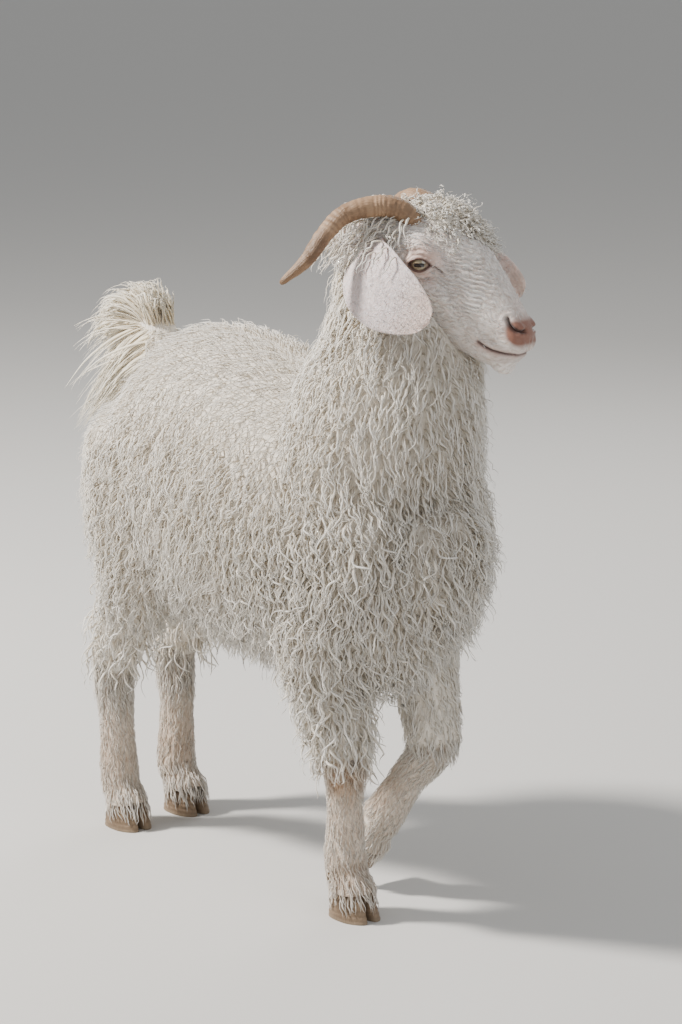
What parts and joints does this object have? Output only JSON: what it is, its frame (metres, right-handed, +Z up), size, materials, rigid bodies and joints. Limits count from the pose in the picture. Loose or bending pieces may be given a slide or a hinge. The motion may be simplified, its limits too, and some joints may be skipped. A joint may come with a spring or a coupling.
{
  "type": "angora goat",
  "caption": "Still life-size angora goat in mid stride, one foreleg lifted, with curly fleece, swept horns, drooping ears and raised tail.",
  "frame": {"origin": "on the floor, under the middle of the bounding box", "axes": "+X ahead, +Y to the goat's left, +Z up"},
  "size_m": [0.7846, 0.3238, 0.8491],
  "materials": {
    "fleece": "warm white curly fleece",
    "tail_fleece": "cream long locks",
    "face": "short white hair",
    "short_hair": "short white hair",
    "ear": "thinly haired skin",
    "horn": "ringed horn",
    "hoof": "worn horn",
    "eye": "wet gloss"
  },
  "bodies": {
    "root": {"torso": "fleece", "neck": "fleece", "tail": "tail_fleece", "head": "face", "ear_right": "ear", "ear_left": "ear", "horn_right": "horn", "horn_left": "horn", "eye_right": "eye", "eye_left": "eye", "foreleg_right_upper": "fleece", "foreleg_right_lower": "short_hair", "hoof_foreleg_right_right": "hoof", "hoof_foreleg_right_left": "hoof", "foreleg_left_upper": "fleece", "foreleg_left_lower": "short_hair", "hoof_foreleg_left_right": "hoof", "hoof_foreleg_left_left": "hoof", "hindleg_right_upper": "fleece", "hindleg_right_lower": "short_hair", "hoof_hindleg_right_right": "hoof", "hoof_hindleg_right_left": "hoof", "hindleg_left_upper": "fleece", "hindleg_left_lower": "short_hair", "hoof_hindleg_left_right": "hoof", "hoof_hindleg_left_left": "hoof"}
  },
  "joints": []
}
